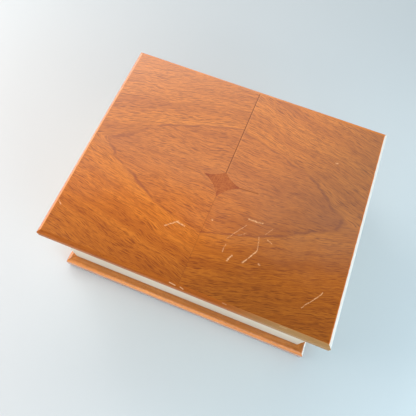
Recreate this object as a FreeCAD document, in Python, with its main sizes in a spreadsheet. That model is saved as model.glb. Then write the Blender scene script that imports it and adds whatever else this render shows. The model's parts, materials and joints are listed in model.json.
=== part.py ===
import FreeCAD, Part
import math
import os
import re
import Sketcher

# A wooden box with a hidden keyhole and a hidden key drawer.
# Frame: origin at the middle of the underside, X to the right, Y to the back, Z up. Millimetres.

SIZES = {
    # outline of the closed box
    "width": 150, "depth": 122, "height": 62, "reveal": 5,
    # base: felt, board, rounded mouldings as wide as the reveal
    "felt": 0.8, "base_board": 8, "base_round": 2.6,
    # case: boards, sliding front panel, plywood floor, velvet
    "wall": 7, "keyhole_wall": 6, "panel": 4, "slide_gap": 0.2, "floor_board": 3, "lining": 1,
    "lining_top": 53, "front_lining_start": 30,
    # lid: core with veneer on top and lipping round its edge
    "lid": 6.8, "lid_gap": 0.2, "veneer": 0.6, "lipping": 2, "lid_round": 1.8, "lid_arris": 1.6,
    "star_left": 11, "star_right": 10.6, "star_back": 4.6, "star_front": 10.3, "star_drop": 1.4,
    "star_curve": 18,
    "liner": 3, "liner_margin": 2, "liner_front": 36,
    # hidden drawer under the case
    "channel_half": 14, "channel_length": 68, "channel_skin": 1.8, "drawer_gap": 0.3,
    "tray_length": 65, "tray_rim": 2.7, "tray_pocket": 3.8, "tray_lining": 0.6, "drawer_travel": 46,
    "stop_pin": 2, "drawer_pin_in": 6, "pin_slot": 1,
    # key
    "key_bow": 12, "key_bow_hole": 7, "key_stem": 2.4, "key_length": 38, "key_blade": 3.2,
    "key_blade_thick": 1.1, "key_blade_length": 7,
    # dovetail runners of the front panel
    "runner_low": 15, "runner_high": 47.5, "runner_deep": 2.9, "runner_neck": 4.8, "runner_foot": 7.2,
    "runner_end": 4, "runner_gap": 0.3, "panel_travel": 24, "panel_pin_x": 20, "panel_pin_z": 33,
    "panel_pin_reach": 3.3,
    # leaf springs that hold the drawer and the panel shut
    "spring_length": 18, "spring_width": 4, "spring_sheet": 0.3, "spring_rise": 1.5, "spring_seat": 1.7,
    "panel_spring_x": 30, "drawer_spring_x": 30,
    # lock
    "lock_left": 62, "lock_right": 32, "lock_low": 30, "lock_top_gap": 0.3, "lock_sheet": 1.2,
    "lock_depth": 8.4, "lock_cover": 0.8, "bolt_stand": 0.9, "cam_x": 54, "cam_z": 37.5,
    "plate_size": 9, "plate_thick": 0.6, "plate_hole": 5.4,
    "cam_hub": 4.6, "cam_disc": 11, "cam_sheet": 1.2, "cam_throw": 4, "cam_start": 40,
    "cam_peg": 2.4, "bolt_thick": 1.6, "bolt_high": 6, "bolt_tail": 60.4, "bolt_tip": 41.5, "bolt_lift": 4,
    "talon": 1.6, "talon_drop": 1.9, "talon_slot": 3.3, "talon_slot_top": 2,
    "guide_pin": 1.8, "guide_slot": 2.2, "guide_z": 4, "guide_front": 45,
    "guide_rear": 53.5, "bolt_travel": 5.15,
    # keeper on the lid
    "keeper_x": 38.2, "keeper_thick": 1.6, "keeper_front": 43.3, "keeper_rear": 39.3, "keeper_window": 2.4,
    "keeper_low": 39.8, "keeper_plate": 1, "keeper_plate_x": 6.8, "keeper_plate_y": 3.4,
    # butt hinges
    "hinge_x": 40, "hinge_length": 24, "hinge_leaf": 0.8, "hinge_front": 50.4,
    "barrel": 3.2, "barrel_y": 56.9, "barrel_room": 2, "knuckle": 8, "knuckle_gap": 0.2,
    "hinge_pin": 1.2, "pin_bore": 1.36,
    # screws
    "screw": 1.6, "screw_pilot": 1.2, "screw_head": 3, "screw_slot": 0.4, "hinge_screw": 5, "keeper_screw": 4,
    "lock_screw": 10.8, "lock_screw_in": 2.4, "hinge_screw_x": 8, "keeper_screw_x": 4.2,
    "base_screw": 2.6, "base_pilot": 2, "base_screw_head": 5, "base_screw_length": 15,
    "base_screw_front": 35, "base_screw_back": 38, "base_screw_x": 40,
}

doc = FreeCAD.newDocument("puzzle_box")
sheet = doc.addObject("Spreadsheet::Sheet", "Sizes")
for row, (alias, number) in enumerate(SIZES.items(), start=1):
    sheet.set("A%d" % row, alias)
    sheet.set("B%d" % row, str(number))
    sheet.setAlias("B%d" % row, alias)
doc.recompute()

parts = []


# ---------------------------------------------------------------- helpers

def linked(text):
    """The same expression with each size read from the sheet."""
    return re.sub(r"[a-z][a-z_]+", lambda found: ("Sizes." if found[0] in SIZES else "") + found[0], text)


def measure(text):
    """The present value of an expression of sizes."""
    return float(sheet.evalExpression(text))


def minus(text):
    return "-(%s)" % text


def plus(*texts):
    return "(" + " + ".join("(%s)" % text for text in texts) + ")"


def rectangle(left, right, low, high):
    return [(left, low), (right, low), (right, high), (left, high)]


def middle_rectangle(x, y, length, breadth):
    half_length, half_breadth = "(%s) / 2" % length, "(%s) / 2" % breadth
    return rectangle(plus(x, minus(half_length)), plus(x, half_length),
                     plus(y, minus(half_breadth)), plus(y, half_breadth))


def place(thing, x="0", y="0", z="0"):
    for axis, text in zip("xyz", (x, y, z)):
        thing.setExpression("Placement.Base." + axis, linked(text))


def box(label, left, right, front, back, low, high):
    """A plain board between six faces."""
    board = doc.addObject("Part::Box", label)
    board.Label = label
    for side, start, end in (("Length", left, right), ("Width", front, back), ("Height", low, high)):
        board.setExpression(side, linked(plus(end, minus(start))))
    place(board, left, front, low)
    parts.append(board)
    return board


def new_body(label, x="0", y="0", z="0"):
    body = doc.addObject("PartDesign::Body", label)
    body.Label = label
    place(body, x, y, z)
    parts.append(body)
    return body


def fix_point(sketch, edge, end, x, y):
    """Hold one end of an edge at x, y from the sketch's origin."""
    for kind, text in (("DistanceX", x), ("DistanceY", y)):
        index = sketch.addConstraint(Sketcher.Constraint(kind, -1, 1, edge, end, measure(text)))
        sketch.setExpression("Constraints[%d]" % index, linked(text))


def draw_circle(sketch, x, y, diameter):
    centre = FreeCAD.Vector(measure(x), measure(y), 0)
    edge = sketch.addGeometry(Part.Circle(centre, FreeCAD.Vector(0, 0, 1), measure(diameter) / 2))
    fix_point(sketch, edge, 3, x, y)
    index = sketch.addConstraint(Sketcher.Constraint("Diameter", edge, measure(diameter)))
    sketch.setExpression("Constraints[%d]" % index, linked(diameter))


def draw_outline(sketch, corners):
    """A closed outline, anticlockwise. A corner with a third value starts a hollow arc of that radius."""
    points = [FreeCAD.Vector(measure(corner[0]), measure(corner[1]), 0) for corner in corners]
    ends = []
    for start, end, corner in zip(points, points[1:] + points[:1], corners):
        if len(corner) == 2:
            edge = sketch.addGeometry(Part.LineSegment(start, end))
            ends.append((edge, 1, 2))
            continue
        chord = end - start
        radius = measure(corner[2])
        rise = math.sqrt(radius ** 2 - (chord.Length / 2) ** 2)
        centre = (start + end) * 0.5 + FreeCAD.Vector(chord.y, -chord.x, 0) * (rise / chord.Length)
        arms = [point - centre for point in (end, start)]
        circle = Part.Circle(centre, FreeCAD.Vector(0, 0, 1), radius)
        edge = sketch.addGeometry(Part.ArcOfCircle(circle, *[math.atan2(arm.y, arm.x) for arm in arms]))
        index = sketch.addConstraint(Sketcher.Constraint("Radius", edge, radius))
        sketch.setExpression("Constraints[%d]" % index, linked(corner[2]))
        ends.append((edge, 2, 1))
    for (edge, start, end), (following, next_start, _), corner in zip(ends, ends[1:] + ends[:1], corners):
        sketch.addConstraint(Sketcher.Constraint("Coincident", edge, end, following, next_start))
        fix_point(sketch, edge, start, corner[0], corner[1])


def sketch_on(body, plane, lift, shapes):
    """A sketch on one of the body's own planes; a shape is an outline or a circle (x, y, diameter)."""
    sketch = body.newObject("Sketcher::SketchObject", body.Name + "_sketch")
    support = next(item for item in body.Origin.OriginFeatures if item.Role == plane + "_Plane")
    sketch.AttachmentSupport = [(support, "")]
    sketch.MapMode = "FlatFace"
    sketch.setExpression("AttachmentOffset.Base.z", linked(lift))
    for shape in shapes:
        if isinstance(shape, tuple):
            draw_circle(sketch, *shape)
        else:
            draw_outline(sketch, shape)
    return sketch


def pad(body, shapes, length, plane="XY", lift="0"):
    """Material from the lifted plane along its normal: +Z on XY, -Y on XZ, +X on YZ."""
    feature = body.newObject("PartDesign::Pad", body.Name + "_pad")
    feature.Profile = sketch_on(body, plane, lift, shapes)
    feature.setExpression("Length", linked(length))
    doc.recompute()
    return feature


def pocket(body, shapes, length, plane="XY", lift="0"):
    """A cut from the lifted plane against its normal."""
    before = body.Shape.Volume
    feature = body.newObject("PartDesign::Pocket", body.Name + "_pocket")
    feature.Profile = sketch_on(body, plane, lift, shapes)
    feature.setExpression("Length", linked(length))
    doc.recompute()
    if not body.Shape.Volume < before - 0.01:
        raise RuntimeError("a pocket in %s cuts nothing" % body.Label)
    return feature


def round_edges(body, radius, chosen):
    """Round the edges whose bounding box passes the test."""
    base = body.Tip
    names = ["Edge%d" % (index + 1) for index, edge in enumerate(base.Shape.Edges) if chosen(edge.BoundBox)]
    feature = body.newObject("PartDesign::Fillet", body.Name + "_round")
    feature.Base = (base, names)
    feature.setExpression("Radius", linked(radius))
    doc.recompute()
    return feature


def revolve(body, plane, corners, axis):
    feature = body.newObject("PartDesign::Revolution", body.Name + "_turned")
    sketch = sketch_on(body, plane, "0", [corners])
    feature.Profile = sketch
    feature.ReferenceAxis = (sketch, [axis])
    feature.Angle = 360
    doc.recompute()
    return feature


# ---------------------------------------------------------------- shared faces

HALF_X = "width / 2"
HALF_Y = "depth / 2"
CASE_X = "(width / 2 - reveal)"
CASE_Y = "(depth / 2 - reveal)"
BASE_TOP = "(felt + base_board)"
LID_UNDER = "(height - lid)"
WALL_TOP = "(height - lid - lid_gap)"
CORE_TOP = "(height - veneer)"
CORE_X = "(width / 2 - lipping)"
CORE_Y = "(depth / 2 - lipping)"
PANEL_BACK = minus(CASE_Y + " - panel")                      # back face of the sliding panel
WALL_FRONT = minus(CASE_Y + " - panel - slide_gap")          # front face of the keyhole wall
WALL_BACK = minus(CASE_Y + " - panel - slide_gap - keyhole_wall")
INNER_X = "(%s - wall)" % CASE_X
INNER_BACK = "(%s - wall)" % CASE_Y
FLOOR_TOP = plus(BASE_TOP, "floor_board")
BASE_SCREW_IN = "(base_screw_length - base_board)"
BARREL_FRONT = "(barrel_y - barrel_room)"
BARREL_ROOM = "(barrel_room - lid_gap / 2)"
HINGE_SCREW_Y = "((hinge_front + barrel_y - barrel_room) / 2)"
KEEPER_Y = "(-(keeper_front + keeper_rear) / 2)"


# ---------------------------------------------------------------- base

def edge_strip(label, side, half_x, half_y, breadth, low, high, short="0"):
    """One mitred strip of a rectangular edging; short draws its mitres back from its neighbours'."""
    outer_x, outer_y = half_x, half_y
    inner_x, inner_y = "(%s - (%s))" % (half_x, breadth), "(%s - (%s))" % (half_y, breadth)
    along_x = side in ("front", "back")
    if along_x:
        outer, inner, reach_outer, reach_inner = outer_y, inner_y, outer_x, inner_x
    else:
        outer, inner, reach_outer, reach_inner = outer_x, inner_x, outer_y, inner_y
    reach_outer, reach_inner = (plus(reach, minus(short)) for reach in (reach_outer, reach_inner))
    across = [(minus(reach_outer), outer), (reach_outer, outer),
              (reach_inner, inner), (minus(reach_inner), inner)]
    if side in ("front", "left"):
        across = [(reach, minus(face)) for reach, face in across]
    corners = across if along_x else [(face, reach) for reach, face in across]
    body = new_body(label, z=low)
    pad(body, [corners], plus(high, minus(low)))
    return body


def outer_arris(body, side, half, level):
    """The test that finds the long outer edge of a strip at a level above the body's own plane."""
    sign = -1 if side in ("front", "left") else 1
    axis = "Y" if side in ("front", "back") else "X"
    face = sign * measure(half)
    height = measure(level)

    def chosen(bounds):
        low, high = getattr(bounds, axis + "Min"), getattr(bounds, axis + "Max")
        on_face = abs(low - face) < 0.001 and abs(high - face) < 0.001
        return on_face and abs(bounds.ZMin - height) < 0.001 and abs(bounds.ZMax - height) < 0.001

    return chosen


def make_base():
    box("base_felt", minus(CASE_X), CASE_X, minus(CASE_Y), CASE_Y, "0", "felt")

    board = new_body("base_board", z="felt")
    pad(board, [rectangle(minus(CASE_X), CASE_X, minus(CASE_Y), CASE_Y)], "base_board")
    channel_end = plus(minus(CASE_X), "channel_length")
    spring_x = minus("drawer_spring_x")
    channel = rectangle(minus(CASE_X), channel_end, minus("channel_half"), "channel_half")
    pocket(board, [channel], "base_board - channel_skin", lift="base_board")
    spring_room = "(spring_length / 2 + 1)"
    recess = rectangle(plus(spring_x, minus(spring_room)), plus(spring_x, spring_room),
                       "channel_half - 1", "channel_half + spring_seat")
    pocket(board, [recess], "base_board - channel_skin", lift="base_board")
    pin_x = plus(minus(CASE_X), "drawer_pin_in")
    pocket(board, [(pin_x, "0", "stop_pin")], "channel_skin", lift="channel_skin")

    holes = [(x, y, "base_screw_head") for x, y in base_screw_places()]
    pocket(board, holes, "base_board", lift="base_board")

    for side in ("front", "back", "right"):
        strip = edge_strip("base_moulding_" + side, side, HALF_X, HALF_Y, "reveal", "felt", BASE_TOP)
        half = HALF_Y if side in ("front", "back") else HALF_X
        round_edges(strip, "base_round", outer_arris(strip, side, half, "base_board"))

    pin = doc.addObject("Part::Cylinder", "drawer_stop_pin")
    pin.setExpression("Radius", linked("stop_pin / 2"))
    pin.setExpression("Height", linked("channel_skin + drawer_gap + pin_slot - drawer_gap / 2"))
    place(pin, pin_x, "0", "felt")
    parts.append(pin)
    leaf_spring("drawer_spring", spring_x, "channel_half + spring_seat",
                plus("felt", "channel_skin", "drawer_gap"))


def leaf_spring(label, x, back, low):
    """A shallow bow of spring steel: its ends stand on the recess, its crown reaches towards -Y."""
    half, rise, sheet_thick = measure("spring_length / 2"), measure("spring_rise"), measure("spring_sheet")
    outer = Part.Arc(FreeCAD.Vector(-half, 0, 0), FreeCAD.Vector(0, -rise, 0), FreeCAD.Vector(half, 0, 0))
    inner = Part.Arc(FreeCAD.Vector(-half, sheet_thick, 0), FreeCAD.Vector(0, sheet_thick - rise, 0),
                     FreeCAD.Vector(half, sheet_thick, 0))
    ends = [Part.LineSegment(FreeCAD.Vector(x_end, 0, 0), FreeCAD.Vector(x_end, sheet_thick, 0))
            for x_end in (-half, half)]
    wire = Part.Wire(Part.__sortEdges__([piece.toShape() for piece in (outer, inner, *ends)]))
    spring = doc.addObject("Part::Feature", label)
    spring.Shape = Part.Face(wire).extrude(FreeCAD.Vector(0, 0, measure("spring_width")))
    place(spring, x, plus(back, "-spring_sheet"), low)
    parts.append(spring)


# ---------------------------------------------------------------- hidden drawer and key

def make_drawer():
    gap = "slide_gap"
    front = new_body("drawer_front", z="felt")
    inner = "(%s + slide_gap / 2)" % CASE_X
    corners = [(minus(HALF_X), plus(HALF_Y, minus(gap))), (minus(HALF_X), minus(plus(HALF_Y, minus(gap)))),
               (minus(inner), minus(plus(CASE_Y, minus(gap)))), (minus(inner), plus(CASE_Y, minus(gap)))]
    pad(front, [corners], "base_board")
    round_edges(front, "base_round", outer_arris(front, "left", HALF_X, "base_board"))

    low = plus("felt", "channel_skin", "drawer_gap")
    high = plus(BASE_TOP, "-drawer_gap")
    tray_high = plus(high, minus(low))
    half = "(channel_half - drawer_gap)"
    end = plus(minus(inner), "tray_length")
    tray = new_body("key_tray", z=low)
    pad(tray, [rectangle(minus(inner), end, minus(half), half)], tray_high)
    hollow = rectangle(plus(minus(inner), "tray_rim"), plus(end, "-tray_rim"),
                       plus(minus(half), "tray_rim"), plus(half, "-tray_rim"))
    pocket(tray, [hollow], "tray_pocket", lift=tray_high)
    pin_x = plus(minus(CASE_X), "drawer_pin_in")
    clear = "(stop_pin / 2 + drawer_gap)"
    slot = rectangle(plus(pin_x, minus(clear)), plus(pin_x, "drawer_travel", clear), minus(clear), clear)
    pocket(tray, [slot], "pin_slot", lift="pin_slot")

    floor = plus(high, "-tray_pocket")
    box("tray_lining", plus(minus(inner), "tray_rim"), plus(end, "-tray_rim"),
        plus(minus(half), "tray_rim"), plus(half, "-tray_rim"), floor, plus(floor, "tray_lining"))
    make_key(plus(minus(CASE_X), "drawer_pin_in", "key_bow / 2"), plus(floor, "tray_lining", "key_stem / 2"))


def make_key(bow_x, axis_z):
    """A flat ring bow, a turned stem with a collar and a flat blade that fits the cam's slot."""
    key = new_body("key", x=bow_x, z=axis_z)
    bow_thick = "key_stem * 0.8"
    pad(key, [("0", "0", "key_bow"), ("0", "0", "key_bow_hole")], bow_thick, lift=minus("key_stem * 0.4"))
    round_edges(key, "key_stem * 0.25", lambda bounds: bounds.ZLength < 0.001)
    reach = "key_length - key_bow / 2"
    start = "(key_bow + key_bow_hole) / 4"
    shank_end = plus(reach, "-key_blade_length")
    profile = [(start, "0"), (shank_end, "0"), (shank_end, "key_stem * 0.42"),
               ("key_bow / 2 + 3", "key_stem * 0.42"), ("key_bow / 2 + 3", "key_stem / 2"),
               ("key_bow / 2 + 1", "key_stem / 2"), ("key_bow / 2 + 1", "key_stem * 0.36"),
               (start, "key_stem * 0.36")]
    revolve(key, "XZ", profile, "H_Axis")
    blade = rectangle(plus(shank_end, "-1"), reach, minus("key_blade / 2"), "key_blade / 2")
    pad(key, [blade], "key_blade_thick", lift=minus("key_blade_thick / 2"))


# ---------------------------------------------------------------- case

def make_walls():
    wall = new_body("keyhole_wall", y=WALL_BACK)
    pad(wall, [rectangle(minus(CASE_X), CASE_X, BASE_TOP, WALL_TOP)], "keyhole_wall", plane="XZ")
    front = minus("keyhole_wall")
    floor = minus("keyhole_wall - runner_deep - slide_gap / 2")
    neck, foot = "(runner_neck / 2 + runner_gap)", "(runner_foot / 2 + runner_gap)"
    for centre in ("runner_low", "runner_high"):
        section = [(front, plus(centre, minus(neck))), (floor, plus(centre, minus(foot))),
                   (floor, plus(centre, foot)), (front, plus(centre, neck))]
        pocket(wall, [section], plus(CASE_X, CASE_X, "-runner_end", "1"), plane="YZ", lift=CASE_X)
    cam_x = minus("cam_x")
    pocket(wall, [(cam_x, "cam_z", "plate_size")], "plate_thick", plane="XZ", lift="keyhole_wall")
    pocket(wall, [(cam_x, "cam_z", "plate_hole")], "keyhole_wall", plane="XZ", lift="keyhole_wall")
    clear = "(stop_pin / 2 + runner_gap)"
    pin_x = minus("panel_pin_x")
    slot = rectangle(plus(pin_x, minus(clear)), plus(pin_x, "panel_travel", clear),
                     plus("panel_pin_z", minus(clear)), plus("panel_pin_z", clear))
    pocket(wall, [slot], "panel_pin_reach + runner_gap", plane="XZ", lift="keyhole_wall")
    recess = middle_rectangle("panel_spring_x", "panel_pin_z", "spring_length + 2", "spring_width + 1")
    pocket(wall, [recess], "spring_seat", plane="XZ", lift="keyhole_wall")
    pilots = [(x, z, "screw_pilot") for x, z in lock_screw_places()]
    cut_from_back(wall, pilots, "0", "lock_screw - lock_depth")
    leaf = "keyhole_wall - spring_seat"
    leaf_spring("panel_spring", "panel_spring_x", plus(WALL_BACK, minus(leaf)),
                "panel_pin_z - spring_width / 2")

    for label, sign in (("left_wall", -1), ("right_wall", 1)):
        corners = [(CASE_X, WALL_BACK), (CASE_X, CASE_Y), (INNER_X, INNER_BACK), (INNER_X, WALL_BACK)]
        side = new_body(label, z=BASE_TOP)
        pad(side, [[("%d * %s" % (sign, x), y) for x, y in corners]], plus(WALL_TOP, minus(BASE_TOP)))
        places = [(x, y) for x, y in base_screw_places() if measure(x) * sign > measure(INNER_X)]
        pilots = [(x, y, "base_pilot") for x, y in places]
        pocket(side, pilots, BASE_SCREW_IN, lift=BASE_SCREW_IN)

    back = new_body("back_wall", z=BASE_TOP)
    tall = plus(WALL_TOP, minus(BASE_TOP))
    corners = [(minus(CASE_X), CASE_Y), (minus(INNER_X), INNER_BACK), (INNER_X, INNER_BACK), (CASE_X, CASE_Y)]
    pad(back, [corners], tall)
    hinge_seats(back, CASE_Y, tall, tall)
    pilots = [(x, y, "base_pilot") for x, y in base_screw_places() if measure(y) > measure(INNER_BACK)]
    pocket(back, pilots, BASE_SCREW_IN, lift=BASE_SCREW_IN)
    pocket(back, [(x, y, "screw_pilot") for x, y in hinge_screw_places()], "hinge_screw", lift=tall)

    box("case_floor", minus(INNER_X), INNER_X, WALL_BACK, INNER_BACK, BASE_TOP, FLOOR_TOP)


def hinge_seats(body, end_y, leaf_level, barrel_level):
    """Seats for both hinge leaves and room for their barrels, cut down from the two levels."""
    for x in (minus("hinge_x"), "hinge_x"):
        left, right = plus(x, "-hinge_length / 2 - lid_gap / 2"), plus(x, "hinge_length / 2 + lid_gap / 2")
        seat = rectangle(left, right, "hinge_front - lid_gap / 2", end_y)
        pocket(body, [seat], "hinge_leaf", lift=leaf_level)
        pocket(body, [rectangle(left, right, BARREL_FRONT, end_y)], BARREL_ROOM, lift=barrel_level)


def hinge_screw_places():
    """Two screws in each leaf, as x and y."""
    return [(plus(sign + "hinge_x", offset), HINGE_SCREW_Y) for sign in ("-", "")
            for offset in ("-hinge_screw_x", "hinge_screw_x")]


def make_linings():
    top, low = "lining_top", plus(FLOOR_TOP, "lining")
    back_face = plus(INNER_BACK, "-lining")
    box("floor_lining", minus(INNER_X), INNER_X, WALL_BACK, INNER_BACK, FLOOR_TOP, low)
    box("back_lining", minus(INNER_X), INNER_X, back_face, INNER_BACK, low, top)
    box("left_lining", minus(INNER_X), plus(minus(INNER_X), "lining"), WALL_BACK, back_face, low, top)
    box("right_lining", plus(INNER_X, "-lining"), INNER_X, WALL_BACK, back_face, low, top)
    box("front_lining", minus("front_lining_start"), plus(INNER_X, "-lining"),
        WALL_BACK, plus(WALL_BACK, "lining"), low, top)


# ---------------------------------------------------------------- sliding front panel

def make_panel():
    low, high = plus(BASE_TOP, "slide_gap"), plus(WALL_TOP, "-lock_top_gap")
    box("front_panel", minus(CASE_X), CASE_X, minus(CASE_Y), PANEL_BACK, low, high)
    for name, centre in (("lower", "runner_low"), ("upper", "runner_high")):
        runner = new_body("panel_runner_" + name, y=PANEL_BACK, z=centre)
        section = [("0", "-runner_neck / 2"), ("runner_deep", "-runner_foot / 2"),
                   ("runner_deep", "runner_foot / 2"), ("0", "runner_neck / 2")]
        pad(runner, [section], plus(CASE_X, CASE_X, "-runner_end"), plane="YZ",
            lift=plus(minus(CASE_X), "runner_end"))
    pin = new_body("panel_stop_pin", x=minus("panel_pin_x"), y=PANEL_BACK, z="panel_pin_z")
    pad(pin, [("0", "0", "stop_pin")], "panel_pin_reach", plane="XZ", lift=minus("panel_pin_reach"))


# ---------------------------------------------------------------- lock

BOLT_FRONT = "(lock_sheet + slide_gap + cam_sheet + slide_gap + bolt_stand)"    # from the keyhole wall


def make_lock():
    cam_x = minus("cam_x")
    case_back = "(lock_depth - lock_cover)"
    high = plus(WALL_TOP, "-lock_top_gap")
    left, right = minus("lock_left"), minus("lock_right")
    case = new_body("lock_case", y=WALL_BACK)
    pad(case, [rectangle(left, right, "lock_low", high)], case_back, plane="XZ", lift=minus(case_back))
    cavity = rectangle(plus(left, "lock_sheet"), plus(right, "-lock_sheet"),
                       "lock_low + lock_sheet", plus(high, "-lock_sheet"))
    cut_from_back(case, [cavity], case_back, plus(case_back, "-lock_sheet"))
    keeper_room = "(keeper_thick + 1)"
    slot = rectangle(plus(minus("keeper_x"), minus(keeper_room)), plus(minus("keeper_x"), keeper_room),
                     plus(high, "-2 * lock_sheet"), plus(high, "1"))
    cut_from_back(case, [slot], case_back, plus(case_back, "-lock_sheet"))
    pocket(case, [(cam_x, "cam_z", "plate_hole")], "lock_sheet * 2", plane="XZ", lift="0")

    cover = new_body("lock_cover", y=plus(WALL_BACK, "lock_depth"))
    holes = [(x, z, "screw_head") for x, z in lock_screw_places()]
    pad(cover, [rectangle(left, right, "lock_low", high), *holes], "lock_cover", plane="XZ")
    bored = [(x, z, "screw") for x, z in lock_screw_places()]
    pocket(case, bored, "lock_sheet * 2", plane="XZ")

    hub_reach = "(keyhole_wall - plate_thick - slide_gap)"
    cam = new_body("lock_cam", x=cam_x, y=WALL_BACK, z="cam_z")
    disc_front = "(lock_sheet + slide_gap)"
    pad(cam, [("0", "0", "cam_hub")], plus(hub_reach, disc_front, "0.5"), plane="XZ",
        lift=minus(plus(disc_front, "0.5")))
    pad(cam, [("0", "0", "cam_disc")], "cam_sheet", plane="XZ", lift=minus(plus(disc_front, "cam_sheet")))
    disc_back = plus(disc_front, "cam_sheet")
    peg = ("-cam_throw * sin(cam_start * 1deg)", "cam_throw * cos(cam_start * 1deg)", "cam_peg")
    bolt_back = plus(BOLT_FRONT, "bolt_thick", "slide_gap")
    pad(cam, [peg], plus(bolt_back, minus(disc_back), "0.2"), plane="XZ", lift=minus(bolt_back))
    pocket(cam, [middle_rectangle("0", "0", "key_blade_thick + slide_gap", "key_blade + slide_gap")],
           "key_blade_length - 1", plane="XZ", lift=hub_reach)


def lock_screw_places():
    """Four corners of the lock case, as x and z."""
    high = plus(WALL_TOP, "-lock_top_gap")
    return [(x, z) for x in (plus("-lock_left", "lock_screw_in"), plus("-lock_right", "-lock_screw_in"))
            for z in ("lock_low + lock_screw_in", plus(high, "-lock_screw_in"))]


def cut_from_back(body, shapes, level, length):
    """A cut that starts on the rear face and runs forward, towards -Y."""
    before = body.Shape.Volume
    feature = body.newObject("PartDesign::Pocket", body.Name + "_pocket")
    feature.Profile = sketch_on(body, "XZ", minus(level), shapes)
    feature.Reversed = True
    feature.setExpression("Length", linked(length))
    doc.recompute()
    if not body.Shape.Volume < before - 0.01:
        raise RuntimeError("a pocket in %s cuts nothing" % body.Label)


def make_bolt():
    low = plus("cam_z", "bolt_lift")
    bolt = new_body("lock_bolt", y=plus(WALL_BACK, BOLT_FRONT, "bolt_thick"), z=low)
    tail, tip = minus("bolt_tail"), minus("bolt_tip")
    peg_x = plus(minus("cam_x"), "-cam_throw * sin(cam_start * 1deg)")
    talons = [plus(peg_x, offset) for offset in ("-talon_slot / 2 - talon", "-talon_slot / 2",
                                                  "talon_slot / 2", "talon_slot / 2 + talon")]
    levels = ["0", "-talon_drop", "-talon_drop", "talon_slot_top"]
    outline = [(talons[0], levels[0]), (talons[0], levels[1]), (talons[1], levels[2]), (talons[1], levels[3]),
               (talons[2], levels[3]), (talons[2], levels[2]), (talons[3], levels[1]), (talons[3], levels[0]),
               (tip, "0"), (tip, "bolt_high"), (tail, "bolt_high"), (tail, "0")]
    pad(bolt, [outline], "bolt_thick", plane="XZ")
    for guide in ("guide_front", "guide_rear"):
        left = plus(minus(guide), "-bolt_travel - guide_pin / 2 - slide_gap")
        right = plus(minus(guide), "guide_pin / 2 + slide_gap")
        slot = rectangle(left, right, "guide_z - guide_slot / 2", "guide_z + guide_slot / 2")
        pocket(bolt, [slot], "bolt_thick", plane="XZ", lift="bolt_thick")

    pins = new_body("bolt_guide_pins", y=plus(WALL_BACK, "lock_depth - lock_cover"), z=plus(low, "guide_z"))
    pins.AllowCompound = True
    circles = [(minus(guide), "0", "guide_pin") for guide in ("guide_front", "guide_rear")]
    pad(pins, circles, "lock_depth - lock_cover - lock_sheet", plane="XZ")

    plate = new_body("keyhole_plate", x=minus("cam_x"), y=plus(WALL_FRONT, "plate_thick"), z="cam_z")
    hole = ("0", "0", "cam_hub")
    pad(plate, [("0", "0", "plate_size"), hole], "plate_thick", plane="XZ")


def keeper_screw_places():
    return [(plus(minus("keeper_x"), offset), KEEPER_Y) for offset in ("-keeper_screw_x", "keeper_screw_x")]


def make_keeper():
    keeper = new_body("keeper", x=minus("keeper_x"), y=KEEPER_Y, z=LID_UNDER)
    holes = [(x, "0", "screw_head") for x in ("-keeper_screw_x", "keeper_screw_x")]
    plate = middle_rectangle("0", "0", "2 * keeper_plate_x", "2 * keeper_plate_y")
    pad(keeper, [plate, *holes], "keeper_plate")
    drop = plus(LID_UNDER, "-keeper_low")
    tongue = middle_rectangle("0", "0", "keeper_thick", "keeper_front - keeper_rear")
    pad(keeper, [tongue], plus(drop, "keeper_plate / 2"), lift=minus(drop))
    window_low, window_high = "cam_z + bolt_lift - 0.5", "cam_z + bolt_lift + bolt_high + 0.5"
    window = rectangle(minus("keeper_window / 2"), "keeper_window / 2",
                       plus(window_low, minus(LID_UNDER)), plus(window_high, minus(LID_UNDER)))
    pocket(keeper, [window], "keeper_thick", plane="YZ", lift="keeper_thick / 2")


# ---------------------------------------------------------------- lid

def make_lid():
    core = new_body("lid_core", z=LID_UNDER)
    pad(core, [rectangle(minus(CORE_X), CORE_X, minus(CORE_Y), CORE_Y)], plus(CORE_TOP, minus(LID_UNDER)))
    hinge_seats(core, CORE_Y, "hinge_leaf", BARREL_ROOM)
    plate = middle_rectangle(minus("keeper_x"), KEEPER_Y, "2 * keeper_plate_x", "2 * keeper_plate_y")
    pocket(core, [plate], "keeper_plate", lift="keeper_plate")
    for places, reach in ((hinge_screw_places(), "hinge_screw"), (keeper_screw_places(), "keeper_screw")):
        pocket(core, [(x, y, "screw_pilot") for x, y in places], reach, lift=reach)

    for side in ("front", "back", "left", "right"):
        strip = edge_strip("lid_lipping_" + side, side, HALF_X, HALF_Y, "lipping", LID_UNDER, "height")
        half = HALF_Y if side in ("front", "back") else HALF_X
        round_edges(strip, "lid_round", outer_arris(strip, side, half, "lid"))
        round_edges(strip, "lid_arris", outer_arris(strip, side, half, "0"))

    for label, left, right in (("lid_veneer_left", minus(CORE_X), "0"), ("lid_veneer_right", "0", CORE_X)):
        veneer = new_body(label, z=CORE_TOP)
        pad(veneer, [rectangle(left, right, minus(CORE_Y), CORE_Y)], "veneer")
        pocket(veneer, [star_corners()], "veneer", lift="veneer")
    star = new_body("lid_star", z=CORE_TOP)
    pad(star, [star_corners()], "veneer")

    liner_x = "(%s - liner_margin)" % INNER_X
    liner_back = "(%s - liner_margin)" % INNER_BACK
    liner_low = plus(LID_UNDER, "-liner")
    box("lid_liner", minus(liner_x), liner_x, minus("liner_front"), liner_back, liner_low, LID_UNDER)
    box("lid_lining", minus(liner_x), liner_x, minus("liner_front"), liner_back,
        plus(liner_low, "-lining"), liner_low)


def star_corners():
    """The four tips, anticlockwise, joined by hollow arcs. The star was cut by hand, so no two arms match."""
    tips = [("star_right", minus("star_drop")), ("0", "star_back"),
            (minus("star_left"), "0"), ("0", minus("star_front"))]
    return [(x, y, "star_curve") for x, y in tips]


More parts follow.
